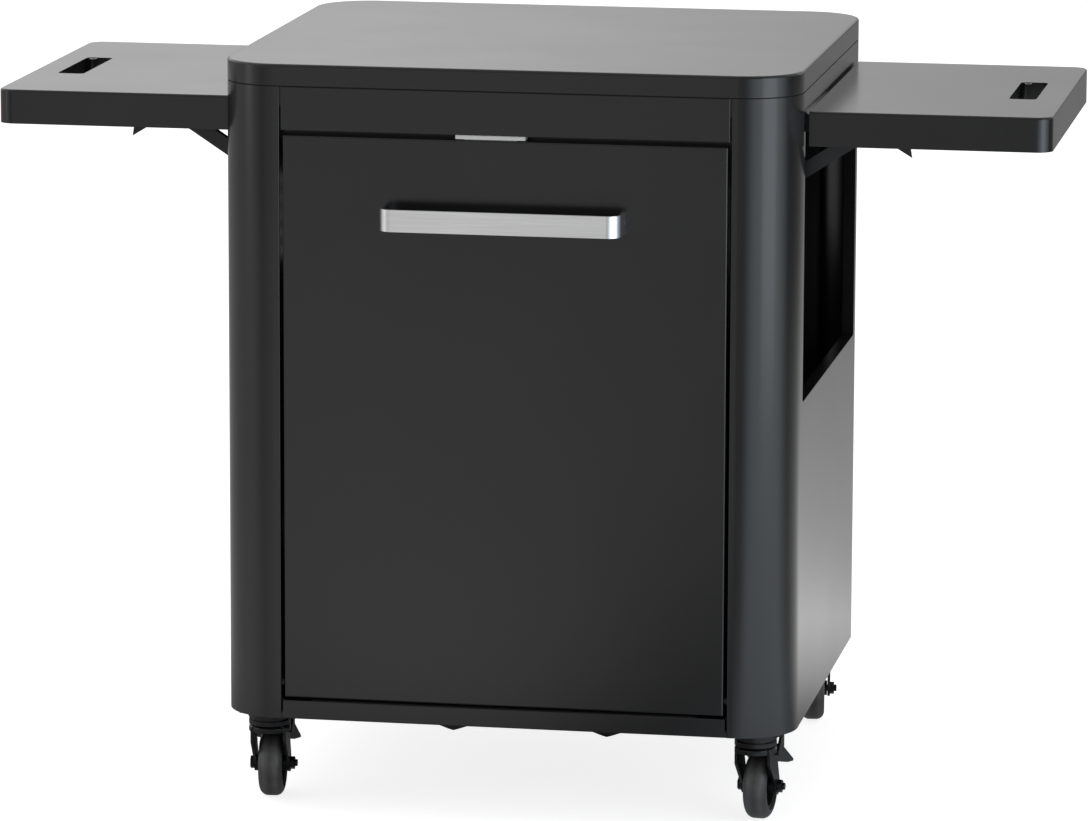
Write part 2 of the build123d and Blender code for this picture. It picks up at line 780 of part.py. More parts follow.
# Caster fork: a pressed U cut to two tapered legs, with a round crown over its web
def fork():
    leg_face = leg_gap + leg_thick
    crown_mid = (crown_top + crown_foot) / 2
    with BuildPart() as legs:
        with BuildSketch(Plane.XZ):
            with Locations((0, crown_top / 2)):
                Rectangle(2 * leg_face, crown_top)
            with Locations((0, crown_foot / 2)):
                Rectangle(2 * leg_gap, crown_foot, mode=Mode.SUBTRACT)
        extrude(amount=trail + wheel_r, both=True)
        fillet(legs.edges().filter_by(Axis.Y).group_by(Axis.Z)[-1], radius=leg_bend)
        with BuildSketch(Plane.YZ):
            with BuildLine():
                Polyline((-leg_half, crown_top), (leg_half, crown_top), (leg_half, crown_foot),
                         (trail + axle_boss, wheel_r + leg_waist), (trail, wheel_r - axle_boss),
                         (trail - axle_boss, wheel_r + leg_waist), (-leg_half, crown_foot - leg_heel),
                         close=True)
            make_face()
            with Locations((trail, wheel_r)):
                Circle(axle_boss)
        extrude(amount=leg_face, both=True, mode=Mode.INTERSECT)
    with BuildPart() as body:
        with Locations((0, 0, crown_mid)):
            Cylinder(crown_r, crown_depth)
        fillet(body.edges().group_by(Axis.Z)[-1], radius=crown_round)
        add(legs.part)
        with Locations((0, 0, crown_mid)):
            Cylinder(king_r + king_play, crown_depth, mode=Mode.SUBTRACT)
        rod_x(0, trail, wheel_r, axle_r + running, 2 * leg_face, mode=Mode.SUBTRACT)
        rod_x(0, pedal_pin_y, pedal_pin_z, pedal_pin_r + running, 2 * leg_face, mode=Mode.SUBTRACT)
    return body.part


def tyre():
    with BuildPart() as ring:
        Cylinder(wheel_r, wheel_width)
        fillet(ring.edges(), radius=tyre_round)
        Cylinder(rim_r, wheel_width, mode=Mode.SUBTRACT)
    return Pos(0, trail, wheel_r) * Rot(0, 90, 0) * ring.part


def hub():
    with BuildPart() as core:
        Cylinder(rim_r, hub_width)
        for side in (-1, 1):
            with BuildSketch(Plane.XY.offset(side * hub_width / 2)):
                Circle(dish_r)
                Circle(hub_boss_r, mode=Mode.SUBTRACT)
            extrude(amount=-side * dish_depth, mode=Mode.SUBTRACT)
        Cylinder(hub_boss_r, 2 * (leg_gap - hub_play))
        Cylinder(axle_r + running, 2 * leg_gap, mode=Mode.SUBTRACT)
    return Pos(0, trail, wheel_r) * Rot(0, 90, 0) * core.part


def axle():
    leg_face = leg_gap + leg_thick
    with BuildPart() as bolt:
        Cylinder(axle_r, 2 * leg_face)
        for side in (-1, 1):
            with BuildSketch(Plane.XY.offset(side * leg_face)):
                RegularPolygon(axle_head_r, 6)
            extrude(amount=side * axle_head)
        with BuildSketch(Plane.XY.offset(leg_face + axle_head)):
            Circle(axle_r)
        extrude(amount=axle_tail)
    return Pos(0, trail, wheel_r) * Rot(0, 90, 0) * bolt.part


# Brake pedal: two cheeks outside the fork on a pin, a sloping ribbed plate between and behind them
def pedal():
    slope = math.radians(pedal_slope)
    long = (pedal_end_y - pedal_root_y) / math.cos(slope)
    cheek_in = leg_gap + leg_thick + pedal_cheek_gap
    cheek_out = cheek_in + pedal_cheek
    with BuildPart() as foot:
        rod_x(0, pedal_pin_y, pedal_pin_z, pedal_pin_r, 2 * cheek_out)
        for side in (-1, 1):
            with BuildSketch(Plane.YZ.offset(side * (cheek_in + cheek_out) / 2)):
                with BuildLine():
                    Polyline((pedal_pin_y, pedal_pin_z - pedal_ear),
                             (ear_end_y, pedal_root_z - pedal_thick - ear_low),
                             (ear_end_y, pedal_root_z + ear_rise), (pedal_root_y, pedal_root_z + ear_rise),
                             (pedal_pin_y, pedal_pin_z + pedal_ear), close=True)
                make_face()
                with Locations((pedal_pin_y, pedal_pin_z)):
                    Circle(pedal_ear)
            extrude(amount=pedal_cheek / 2, both=True)
        tilt = Plane(origin=(0, pedal_root_y, pedal_root_z), x_dir=(1, 0, 0),
                     z_dir=(0, math.sin(slope), math.cos(slope)))
        with BuildSketch(tilt):
            with BuildLine():
                Polyline((-cheek_out, 0), (cheek_out, 0), (pedal_half_end, long - pedal_corner),
                         (pedal_half_end - pedal_corner, long), (pedal_corner - pedal_half_end, long),
                         (-pedal_half_end, long - pedal_corner), close=True)
            make_face()
        extrude(amount=-pedal_thick)
        with BuildSketch(tilt):
            for i in range(rib_count):
                with Locations((0, long - rib_first - rib_pitch * i)):
                    Rectangle(2 * (pedal_half_end - rib_margin), rib_width)
        extrude(amount=rib_height)
    return foot.part


# Four casters, each standing turned a little about its own swivel
for sx, sy, place, turn in ((-1, -1, "front_left", front_left_turn), (1, -1, "front_right", front_right_turn),
                            (-1, 1, "rear_left", rear_left_turn), (1, 1, "rear_right", rear_right_turn)):
    stand = Pos(sx * caster_x, sy * caster_y, 0) * Rot(0, 0, turn)
    for maker, word in ((fork, "fork"), (tyre, "tyre"), (hub, "hub"), (axle, "axle"), (pedal, "pedal")):
        save(stand * maker(), place + "_" + word)
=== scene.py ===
"""Looks of the wheeled grill base: finishes, small fittings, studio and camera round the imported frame."""
import json
import math

import bpy
from mathutils import Matrix, Vector


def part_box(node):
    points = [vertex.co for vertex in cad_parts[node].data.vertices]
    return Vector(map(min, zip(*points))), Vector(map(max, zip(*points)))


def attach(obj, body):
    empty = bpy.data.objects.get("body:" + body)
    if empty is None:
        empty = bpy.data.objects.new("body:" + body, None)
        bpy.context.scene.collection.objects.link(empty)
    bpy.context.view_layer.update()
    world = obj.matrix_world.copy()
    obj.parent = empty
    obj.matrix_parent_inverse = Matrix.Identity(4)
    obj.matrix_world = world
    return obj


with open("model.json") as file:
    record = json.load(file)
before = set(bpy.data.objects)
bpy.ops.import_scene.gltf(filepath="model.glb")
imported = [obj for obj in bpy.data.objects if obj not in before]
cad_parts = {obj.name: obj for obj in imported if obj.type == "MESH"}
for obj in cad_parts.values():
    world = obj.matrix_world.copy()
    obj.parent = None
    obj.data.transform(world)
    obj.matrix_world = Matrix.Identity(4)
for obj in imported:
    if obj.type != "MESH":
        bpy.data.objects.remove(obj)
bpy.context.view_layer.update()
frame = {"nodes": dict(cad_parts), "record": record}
nodes = frame["nodes"]
record = frame["record"]


# ---------------------------------------------------------------- finishes

def blank_finish(name):
    """A material with an empty Principled shader, its tree and its Object coordinates."""
    mat = bpy.data.materials.new(name)
    mat.use_nodes = True
    tree = mat.node_tree
    shader = tree.nodes["Principled BSDF"]
    place = tree.nodes.new("ShaderNodeTexCoord")
    return mat, tree, shader, place.outputs["Object"]


def noise(tree, where, scale, detail=2.0, rough=0.5, stretch=(1.0, 1.0, 1.0)):
    """A noise pattern, stretched along the object's axes."""
    turn = tree.nodes.new("ShaderNodeMapping")
    turn.inputs["Scale"].default_value = stretch
    tree.links.new(where, turn.inputs["Vector"])
    grain = tree.nodes.new("ShaderNodeTexNoise")
    grain.inputs["Scale"].default_value = scale
    grain.inputs["Detail"].default_value = detail
    grain.inputs["Roughness"].default_value = rough
    tree.links.new(turn.outputs["Vector"], grain.inputs["Vector"])
    return grain.outputs["Fac"]


def spread(tree, value, low, high, start=0.3, end=0.7):
    """Maps the middle of a pattern to a range of numbers."""
    fit = tree.nodes.new("ShaderNodeMapRange")
    fit.inputs["From Min"].default_value = start
    fit.inputs["From Max"].default_value = end
    fit.inputs["To Min"].default_value = low
    fit.inputs["To Max"].default_value = high
    tree.links.new(value, fit.inputs["Value"])
    return fit.outputs["Result"]


def two_tone(tree, value, dark, light, start=0.35, end=0.65):
    """Blends two close colours by a pattern."""
    ramp = tree.nodes.new("ShaderNodeValToRGB")
    ramp.color_ramp.elements[0].position = start
    ramp.color_ramp.elements[0].color = (*dark, 1.0)
    ramp.color_ramp.elements[1].position = end
    ramp.color_ramp.elements[1].color = (*light, 1.0)
    tree.links.new(value, ramp.inputs["Fac"])
    return ramp.outputs["Color"]


def relief(tree, shader, height, depth, strength):
    """Feeds a pattern to the shader as a bump of a real depth in metres."""
    bump = tree.nodes.new("ShaderNodeBump")
    bump.inputs["Strength"].default_value = strength
    bump.inputs["Distance"].default_value = depth
    tree.links.new(height, bump.inputs["Height"])
    tree.links.new(bump.outputs["Normal"], shader.inputs["Normal"])


def powder_coat(name, dark, light, gloss, peel_scale, peel_depth, shine=0.5):
    """Satin black powder coat: fine orange peel, faint clouding of colour and gloss."""
    mat, tree, shader, where = blank_finish(name)
    cloud = noise(tree, where, 6.0, 4.0)
    peel = noise(tree, where, peel_scale, 2.0)
    tree.links.new(two_tone(tree, cloud, dark, light), shader.inputs["Base Color"])
    tree.links.new(spread(tree, cloud, gloss - 0.008, gloss + 0.012), shader.inputs["Roughness"])
    relief(tree, shader, peel, peel_depth, 0.35)
    shader.inputs["IOR"].default_value = 1.5
    shader.inputs["Specular IOR Level"].default_value = shine
    return mat


def brushed_metal(name, dark, light, gloss):
    """Steel brushed along X: long hairlines in colour, gloss and relief."""
    mat, tree, shader, where = blank_finish(name)
    hair = noise(tree, where, 1.0, 3.0, 0.6, stretch=(14.0, 900.0, 1600.0))
    cloud = noise(tree, where, 9.0, 2.0)
    tree.links.new(two_tone(tree, hair, dark, light), shader.inputs["Base Color"])
    tree.links.new(spread(tree, cloud, gloss - 0.04, gloss + 0.04), shader.inputs["Roughness"])
    relief(tree, shader, hair, 0.00002, 0.3)
    shader.inputs["Metallic"].default_value = 1.0
    return mat


def plated_steel(name, dark, light, gloss):
    """Zinc plating: blotchy crystal clouds and soft dull spots."""
    mat, tree, shader, where = blank_finish(name)
    blotch = noise(tree, where, 220.0, 4.0)
    tree.links.new(two_tone(tree, blotch, dark, light), shader.inputs["Base Color"])
    tree.links.new(spread(tree, blotch, gloss - 0.06, gloss + 0.10), shader.inputs["Roughness"])
    relief(tree, shader, blotch, 0.00002, 0.2)
    shader.inputs["Metallic"].default_value = 1.0
    return mat


def moulded_plastic(name, dark, light, gloss, grain_scale):
    """Moulded plastic with a fine spark-eroded grain."""
    mat, tree, shader, where = blank_finish(name)
    cloud = noise(tree, where, 40.0, 2.0)
    grain = noise(tree, where, grain_scale, 3.0)
    tree.links.new(two_tone(tree, cloud, dark, light), shader.inputs["Base Color"])
    tree.links.new(spread(tree, grain, gloss - 0.04, gloss + 0.06), shader.inputs["Roughness"])
    relief(tree, shader, grain, 0.00004, 0.3)
    return mat


def tyre_compound(name, dark, light, gloss):
    """Black rubber: rolled lines round the tread and a dusty bloom."""
    mat, tree, shader, where = blank_finish(name)
    dust = noise(tree, where, 55.0, 5.0, 0.65)
    turn = noise(tree, where, 1.0, 2.0, stretch=(900.0, 8.0, 8.0))
    tree.links.new(two_tone(tree, dust, dark, light), shader.inputs["Base Color"])
    tree.links.new(spread(tree, dust, gloss - 0.06, gloss + 0.08), shader.inputs["Roughness"])
    relief(tree, shader, turn, 0.00008, 0.35)
    return mat


# Tone of the tread across the tyre: dark edges and middle, and on each side a lighter band that is a painted
# highlight of the tread's shoulder, laid in as scuffing
tread_highlight_tones = [(0.0, 0.05), (0.25, 0.16), (0.5, 0.09), (0.75, 0.16), (1.0, 0.05)]
tread_half = 0.014


def rolled_tread(name, middle, axle, gloss):
    """Tyre rubber with lighter bands round the tread, painted highlights laid in as scuffing, set square to
    the wheel's own axle.
    """
    mat, tree, shader, where = blank_finish(name)
    square = tree.nodes.new("ShaderNodeMapping")
    square.vector_type = "TEXTURE"
    square.inputs["Location"].default_value = middle
    square.inputs["Rotation"].default_value = (0.0, 0.0, math.atan2(axle[1], axle[0]))
    tree.links.new(where, square.inputs["Vector"])
    across = tree.nodes.new("ShaderNodeSeparateXYZ")
    tree.links.new(square.outputs["Vector"], across.inputs["Vector"])
    # Lighter bands across the tread: painted highlight of the shoulders, laid in as scuffing
    highlight_band = tree.nodes.new("ShaderNodeValToRGB")
    stops = highlight_band.color_ramp.elements
    while len(stops) < len(tread_highlight_tones):
        stops.new(0.5)
    for stop, (spot, tone) in zip(stops, tread_highlight_tones):
        stop.position = spot
        stop.color = (tone, tone, tone, 1.0)
    tree.links.new(spread(tree, across.outputs["X"], 0.0, 1.0, -tread_half, tread_half),
                   highlight_band.inputs["Fac"])
    dust = noise(tree, square.outputs["Vector"], 60.0, 5.0, 0.65)
    lines = noise(tree, square.outputs["Vector"], 1.0, 2.0, stretch=(900.0, 8.0, 8.0))
    shade = tree.nodes.new("ShaderNodeMix")
    shade.data_type = "RGBA"
    shade.blend_type = "MULTIPLY"
    shade.inputs["Factor"].default_value = 1.0
    colours = [i for i in shade.inputs if i.type == "RGBA"]
    tree.links.new(highlight_band.outputs["Color"], colours[0])
    tree.links.new(two_tone(tree, dust, (0.72, 0.72, 0.72), (1.0, 1.0, 0.99)), colours[1])
    tree.links.new([o for o in shade.outputs if o.type == "RGBA"][0], shader.inputs["Base Color"])
    tree.links.new(spread(tree, dust, gloss - 0.06, gloss + 0.08), shader.inputs["Roughness"])
    relief(tree, shader, lines, 0.00008, 0.35)
    return mat


finishes = {
    "black_coat": powder_coat("black_coat", (0.0095, 0.0096, 0.0102), (0.0125, 0.0126, 0.0134),
                              0.20, 700.0, 0.00002),
    "bracket_coat": powder_coat("bracket_coat", (0.008, 0.008, 0.0085), (0.013, 0.013, 0.0135),
                                0.42, 500.0, 0.00003),
    "caster_steel": powder_coat("caster_steel", (0.004, 0.004, 0.0043), (0.008, 0.008, 0.0084),
                                0.26, 420.0, 0.00003, 0.36),
    "pedal_black": powder_coat("pedal_black", (0.009, 0.009, 0.0095), (0.015, 0.015, 0.0155),
                               0.40, 420.0, 0.00003, 0.3),
    "brushed_handle": brushed_metal("brushed_handle", (0.77, 0.77, 0.775), (0.90, 0.90, 0.905), 0.30),
    # A darker copy of the zinc: painted shade for the handle studs beside the handle's end
    "shade_dark_zinc": plated_steel("shade_dark_zinc", (0.09, 0.09, 0.095), (0.15, 0.15, 0.155), 0.40),
    "zinc_steel": plated_steel("zinc_steel", (0.50, 0.51, 0.53), (0.68, 0.69, 0.71), 0.32),
    "white_plastic": moulded_plastic("white_plastic", (0.90, 0.90, 0.88), (0.95, 0.95, 0.93), 0.42, 900.0),
    "nylon": moulded_plastic("nylon", (0.010, 0.010, 0.010), (0.016, 0.016, 0.016), 0.46, 700.0),
    "hub_plastic": moulded_plastic("hub_plastic", (0.005, 0.005, 0.005), (0.009, 0.009, 0.009), 0.42, 800.0),
    # Dull black rubber for dark strips that paint shade into gaps and seams
    "shade_strip_rubber": tyre_compound("shade_strip_rubber", (0.006, 0.006, 0.006), (0.010, 0.010, 0.010), 0.85),
    "tyre_rubber": tyre_compound("tyre_rubber", (0.018, 0.018, 0.018), (0.030, 0.030, 0.029), 0.40),
}

# The studs take the darker zinc and the hinge pins the darker caster black: painted shade where they sit in
# shade
own_finish = {"handle_studs": finishes["shade_dark_zinc"], "hinge_pins": finishes["caster_steel"]}
for joint in record["behaviour"]["joints"]:
    if joint["name"].endswith("_wheel_roll"):
        tyre = joint["name"].replace("_wheel_roll", "_tyre")
        own_finish[tyre] = rolled_tread(tyre + "_tread", joint["pos_m"], joint["axis"], 0.40)

for sub in record["subparts"]:
    piece = nodes[sub["node"]]
    finish = own_finish.get(sub["node"], finishes[sub["material_slot"]])
    if piece.data.materials:
        for i in range(len(piece.data.materials)):
            piece.data.materials[i] = finish
    else:
        piece.data.materials.append(finish)


# ---------------------------------------------------------------- small fittings

def fitting_tree(name, sizes):
    """A node tree with its sizes as named inputs, ready to set one shape on every spot."""
    tree = bpy.data.node_groups.new(name, "GeometryNodeTree")
    tree.interface.new_socket("Spots", in_out="INPUT", socket_type="NodeSocketGeometry")
    keys = {}
    for label in sizes:
        socket = tree.interface.new_socket(label, in_out="INPUT", socket_type="NodeSocketFloat")
        keys[label] = socket.identifier
    tree.interface.new_socket("Fittings", in_out="OUTPUT", socket_type="NodeSocketGeometry")
    return tree, tree.nodes.new("NodeGroupInput"), tree.nodes.new("NodeGroupOutput"), keys


def set_on_spots(tree, start, end, shape, turn, finish, rounded=True):
    """Puts the shape on every spot, makes it real geometry and gives it its finish."""
    dots = tree.nodes.new("GeometryNodeMeshToPoints")
    put = tree.nodes.new("GeometryNodeInstanceOnPoints")
    put.inputs["Rotation"].default_value = turn
    whole = tree.nodes.new("GeometryNodeRealizeInstances")
    smooth = tree.nodes.new("GeometryNodeSetShadeSmooth")
    smooth.inputs["Shade Smooth"].default_value = rounded
    coat = tree.nodes.new("GeometryNodeSetMaterial")
    coat.inputs["Material"].default_value = finish
    tree.links.new(start.outputs["Spots"], dots.inputs["Mesh"])
    tree.links.new(dots.outputs["Points"], put.inputs["Points"])
    tree.links.new(shape, put.inputs["Instance"])
    tree.links.new(put.outputs["Instances"], whole.inputs["Geometry"])
    tree.links.new(whole.outputs["Geometry"], smooth.inputs["Geometry"])
    tree.links.new(smooth.outputs["Geometry"], coat.inputs["Geometry"])
    tree.links.new(coat.outputs["Geometry"], end.inputs["Fittings"])


def fit(name, tree, keys, sizes, spots, body, slot):
    """Runs the tree on a list of spots and makes one plain mesh that rides on a body."""
    mesh = bpy.data.meshes.new(name + "_spots")
    mesh.from_pydata(spots, [], [])
    seat = bpy.data.objects.new(name + "_spots", mesh)
    bpy.context.scene.collection.objects.link(seat)
    grown = seat.modifiers.new("fittings", "NODES")
    grown.node_group = tree
    for label, value in sizes.items():
        grown[keys[label]] = value
    shown = seat.evaluated_get(bpy.context.evaluated_depsgraph_get())
    made = bpy.data.meshes.new_from_object(shown)
    bpy.data.objects.remove(seat)
    made.name = name
    piece = bpy.data.objects.new(name, made)
    bpy.context.scene.collection.objects.link(piece)
    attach(piece, body)


def low_dome(name, sizes, turn, finish):
    """A domed head or bumper: a flattened ball, half of it sunk in the sheet."""
    tree, start, end, keys = fitting_tree(name, sizes)
    ball = tree.nodes.new("GeometryNodeMeshUVSphere")
    ball.inputs["Segments"].default_value = 24
    ball.inputs["Rings"].default_value = 12
    tree.links.new(start.outputs["Radius"], ball.inputs["Radius"])
    flat = tree.nodes.new("GeometryNodeTransform")
    share = tree.nodes.new("ShaderNodeMath")
    share.operation = "DIVIDE"
    tree.links.new(start.outputs["Height"], share.inputs[0])
    tree.links.new(start.outputs["Radius"], share.inputs[1])
    size = tree.nodes.new("ShaderNodeCombineXYZ")
    size.inputs["X"].default_value = 1.0
    size.inputs["Y"].default_value = 1.0
    tree.links.new(share.outputs[0], size.inputs["Z"])
    tree.links.new(size.outputs["Vector"], flat.inputs["Scale"])
    tree.links.new(ball.outputs["Mesh"], flat.inputs["Geometry"])
    set_on_spots(tree, start, end, flat.outputs["Geometry"], turn, finish)
    return tree, keys


def coil_spring(name, sizes, turn, finish):
    """A close coil of round wire."""
    tree, start, end, keys = fitting_tree(name, sizes)
    coil = tree.nodes.new("GeometryNodeCurveSpiral")
    coil.inputs["Resolution"].default_value = 24
    coil.inputs["Rotations"].default_value = 3.5
    tree.links.new(start.outputs["Radius"], coil.inputs["Start Radius"])
    tree.links.new(start.outputs["Radius"], coil.inputs["End Radius"])
    tree.links.new(start.outputs["Height"], coil.inputs["Height"])
    wire = tree.nodes.new("GeometryNodeCurvePrimitiveCircle")
    wire.inputs["Resolution"].default_value = 10
    tree.links.new(start.outputs["Wire"], wire.inputs["Radius"])
    body = tree.nodes.new("GeometryNodeCurveToMesh")
    body.inputs["Fill Caps"].default_value = True
    tree.links.new(coil.outputs["Curve"], body.inputs["Curve"])
    tree.links.new(wire.outputs["Curve"], body.inputs["Profile Curve"])
    set_on_spots(tree, start, end, body.outputs["Mesh"], turn, finish)
    return tree, keys


def edge_ring(name, sizes, turn, finish):
    """A round rubber edging bent to a ring."""
    tree, start, end, keys = fitting_tree(name, sizes)
    run = tree.nodes.new("GeometryNodeCurvePrimitiveCircle")
    run.inputs["Resolution"].default_value = 64
    tree.links.new(start.outputs["Radius"], run.inputs["Radius"])
    lip = tree.nodes.new("GeometryNodeCurvePrimitiveCircle")
    lip.inputs["Resolution"].default_value = 14
    tree.links.new(start.outputs["Lip"], lip.inputs["Radius"])
    body = tree.nodes.new("GeometryNodeCurveToMesh")
    tree.links.new(run.outputs["Curve"], body.inputs["Curve"])
    tree.links.new(lip.outputs["Curve"], body.inputs["Profile Curve"])
    set_on_spots(tree, start, end, body.outputs["Mesh"], turn, finish)
    return tree, keys


def painted_cross_shade(name, sizes, turn, finish):
    """A thin dark cross on a screw head: painted shade standing in for the shade inside a cross-head's
    hollow.
    """
    tree, start, end, keys = fitting_tree(name, sizes)
    join = tree.nodes.new("GeometryNodeJoinGeometry")
    for long_way in ("X", "Z"):
        bar = tree.nodes.new("GeometryNodeMeshCube")
        size = tree.nodes.new("ShaderNodeCombineXYZ")
        for way in ("X", "Y", "Z"):
            label = "Depth" if way == "Y" else ("Reach" if way == long_way else "Width")
            tree.links.new(start.outputs[label], size.inputs[way])
        tree.links.new(size.outputs["Vector"], bar.inputs["Size"])
        tree.links.new(bar.outputs["Mesh"], join.inputs["Geometry"])
    set_on_spots(tree, start, end, join.outputs["Geometry"], turn, finish, rounded=False)
    return tree, keys


def oblong_sleeve(name, sizes, turn, finish, corner_steps=8):
    """A thin sleeve that follows a rounded oblong."""
    tree, start, end, keys = fitting_tree(name, sizes)
    run = tree.nodes.new("GeometryNodeCurvePrimitiveQuadrilateral")
    tree.links.new(start.outputs["Wide"], run.inputs["Width"])
    tree.links.new(start.outputs["Long"], run.inputs["Height"])
    bend = tree.nodes.new("GeometryNodeFilletCurve")
    bend.mode = "POLY"
    bend.inputs["Count"].default_value = corner_steps
    tree.links.new(run.outputs["Curve"], bend.inputs["Curve"])
    tree.links.new(start.outputs["Corner"], bend.inputs["Radius"])
    wall = tree.nodes.new("GeometryNodeCurvePrimitiveQuadrilateral")
    tree.links.new(start.outputs["Wall"], wall.inputs["Width"])
    tree.links.new(start.outputs["Depth"], wall.inputs["Height"])
    body = tree.nodes.new("GeometryNodeCurveToMesh")
    tree.links.new(bend.outputs["Curve"], body.inputs["Curve"])
    tree.links.new(wall.outputs["Curve"], body.inputs["Profile Curve"])
    set_on_spots(tree, start, end, body.outputs["Mesh"], turn, finish, rounded=False)
    return tree, keys


def round_tab(name, sizes, turn, finish):
    """A flat round tab cut from sheet."""
    tree, start, end, keys = fitting_tree(name, sizes)
    disc = tree.nodes.new("GeometryNodeMeshCylinder")
    disc.inputs["Vertices"].default_value = 40
    tree.links.new(start.outputs["Radius"], disc.inputs["Radius"])
    tree.links.new(start.outputs["Sheet"], disc.inputs["Depth"])
    set_on_spots(tree, start, end, disc.outputs["Mesh"], turn, finish, rounded=False)
    return tree, keys


quarter = math.pi / 2

rivet = {"Radius": 0.0042, "Height": 0.0018}
rivet_tree, rivet_keys = low_dome("bracket_rivet", rivet, (0.0, quarter, 0.0), finishes["zinc_steel"])
plate_sheet, rivet_y, rivet_edge = 0.002, 0.2375, 0.012
plate_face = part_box("right_uprights")[1][0] + plate_sheet
plate_low, plate_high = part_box("right_wall_plates")[0][2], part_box("right_wall_plates")[1][2]
rivet_spots = [(sx * plate_face, sy * rivet_y, z) for sx in (-1, 1) for sy in (-1, 1)
               for z in (plate_low + rivet_edge, plate_high - rivet_edge)]
fit("bracket_rivets", rivet_tree, rivet_keys, rivet, rivet_spots, "cabinet", "zinc_steel")

bumper = {"Radius": 0.003, "Height": 0.0008}
bumper_tree, bumper_keys = low_dome("door_bumper", bumper, (quarter, 0.0, 0.0), finishes["nylon"])
bumper_x, bumper_drop = 0.225, 0.0036
door_back, door_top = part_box("door_inner")[1][1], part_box("door_inner")[1][2]
fit("door_bumpers", bumper_tree, bumper_keys, bumper,
    [(sx * bumper_x, door_back, door_top - bumper_drop) for sx in (-1, 1)], "door", "nylon")

spring = {"Radius": 0.0056, "Height": 0.0042, "Wire": 0.0006}
spring_tree, spring_keys = coil_spring("lever_spring", spring, (-quarter, 0.0, 0.0), finishes["zinc_steel"])
lever_x, lever_z, spring_front, spring_rear = 0.4015, 0.790, -0.2158, 0.2116
for side, sx in (("left", -1), ("right", 1)):
    spring_spots = [(sx * lever_x, spring_front, lever_z), (sx * lever_x, spring_rear, lever_z)]
    fit(side + "_lever_springs", spring_tree, spring_keys, spring, spring_spots,
        side + "_shelf_unit", "zinc_steel")

grommet = {"Radius": 0.0226, "Lip": 0.0014}
grommet_tree, grommet_keys = edge_ring("hose_grommet", grommet, (quarter, 0.0, 0.0), finishes["tyre_rubber"])
hose_z, back_half_sheet = 0.2075, 0.00075
back_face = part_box("back_panel")[1][1]
fit("hose_grommet", grommet_tree, grommet_keys, grommet, [(0.0, back_face - back_half_sheet, hose_z)],
    "cabinet", "tyre_rubber")

# Thin dark crosses on the back screws: painted shade for their cross-head hollows
cross_shade = {"Reach": 0.0046, "Width": 0.0010, "Depth": 0.0002}
cross_shade_tree, cross_shade_keys = painted_cross_shade("screw_shade_cross", cross_shade, (0.0, 0.0, 0.0), finishes["hub_plastic"])
screw_radius, cross_sink, screw_rows = 0.005, 0.00005, 4
screws_low, screws_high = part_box("back_screws")
screw_low, screw_high = screws_low[2] + screw_radius, screws_high[2] - screw_radius
screw_x, screw_y = screws_high[0] - screw_radius, screws_high[1] - cross_sink
cross_shade_spots = [(sx * screw_x, screw_y, screw_low + i * (screw_high - screw_low) / (screw_rows - 1))
                for sx in (-1, 1) for i in range(screw_rows)]
fit("screw_shade_crosses", cross_shade_tree, cross_shade_keys, cross_shade, cross_shade_spots, "cabinet", "hub_plastic")

sleeve = {"Wide": 0.0356, "Long": 0.1486, "Corner": 0.0085, "Wall": 0.0012, "Depth": 0.015}
sleeve_tree, sleeve_keys = oblong_sleeve("slot_sleeve", sleeve, (0.0, 0.0, 0.0), finishes["black_coat"])
tab = {"Radius": 0.0040, "Sheet": 0.0011}
tab_tree, tab_keys = round_tab("slot_tab", tab, (0.0, 0.0, 0.0), finishes["black_coat"])
slot_inset, sleeve_drop, tab_shift, tab_drop = 0.048, 0.0165, 0.007, 0.0009
tab_rows = (0.0715, 0.0675, 0.0635)
shelf_out, shelf_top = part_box("right_shelf")[1][0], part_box("right_shelf")[1][2]
for side, sx in (("left", -1), ("right", 1)):
    slot_x = sx * (shelf_out - slot_inset)
    fit(side + "_slot_sleeve", sleeve_tree, sleeve_keys, sleeve, [(slot_x, 0.0, shelf_top - sleeve_drop)],
        side + "_shelf_unit", "black_coat")
    tab_spots = [(slot_x - tab_shift, y, shelf_top - tab_drop) for y in tab_rows]
    fit(side + "_slot_tab", tab_tree, tab_keys, tab, tab_spots, side + "_shelf_unit", "black_coat")

# Dark strip in the seam under the worktop's skirt: painted shade that keeps the seam dark
seam_shade_wall, half_seam = 0.0004, 0.0006
collar_foot, collar_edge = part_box("top_collar")[0][2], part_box("top_collar")[1]
seam_shade = {"Wide": 2 * collar_edge[0] + seam_shade_wall, "Long": 2 * collar_edge[1] + seam_shade_wall, "Corner": 0.064,
          "Wall": seam_shade_wall, "Depth": 0.00116}
seam_shade_tree, seam_shade_keys = oblong_sleeve("seam_shade_strip", seam_shade, (0.0, 0.0, 0.0), finishes["shade_strip_rubber"],
                                         corner_steps=32)
seam_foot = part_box("right_side_panel")[1][2]
fit("seam_shade_strip", seam_shade_tree, seam_shade_keys, seam_shade, [(0.0, 0.0, seam_foot + half_seam)],
    "cabinet", "tyre_rubber")


